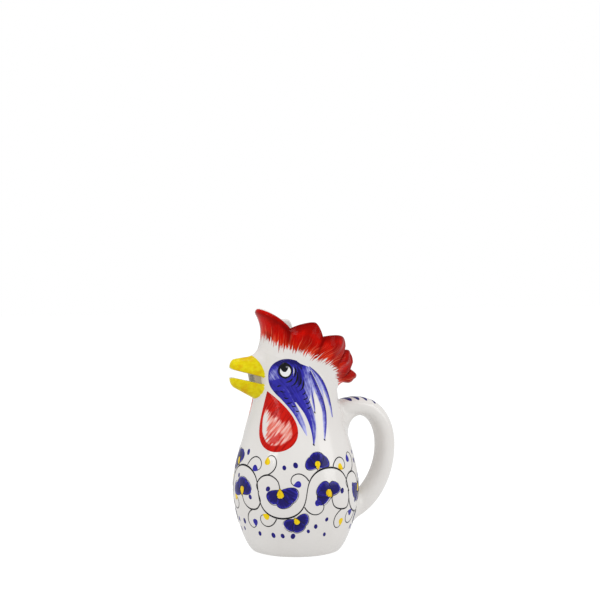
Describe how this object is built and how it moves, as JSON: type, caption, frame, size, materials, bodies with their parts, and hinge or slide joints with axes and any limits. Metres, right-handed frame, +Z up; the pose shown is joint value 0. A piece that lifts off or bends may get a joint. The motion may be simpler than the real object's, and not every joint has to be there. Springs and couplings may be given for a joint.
{
  "type": "rooster pitcher",
  "caption": "Glazed earthenware pitcher shaped as a rooster: pear-shaped vessel, open mouth ringed by a scalloped comb, pouring beak, wattles in low relief and a strap handle.",
  "frame": {"origin": "centre of the foot, in the plane that it stands on", "axes": "+Z up along the vessel's axis, the beak points to -X, the handle to +X, the bird's left side faces -Y"},
  "size_m": [0.1471, 0.105, 0.2005],
  "materials": {
    "white_glaze": "gloss glaze over white slip",
    "red_glaze": "red brushwork under gloss glaze",
    "wattle_glaze": "thin red brushwork under gloss glaze",
    "yellow_glaze": "yellow brushwork under gloss glaze"
  },
  "bodies": {
    "root": {"body": "white_glaze", "comb_front": "red_glaze", "comb_left": "red_glaze", "comb_right": "red_glaze", "comb_back": "red_glaze", "upper_beak": "yellow_glaze", "lower_beak": "yellow_glaze", "cheek_left": "white_glaze", "cheek_right": "white_glaze", "wattle_left": "wattle_glaze", "wattle_right": "wattle_glaze", "handle": "white_glaze"}
  },
  "joints": []
}
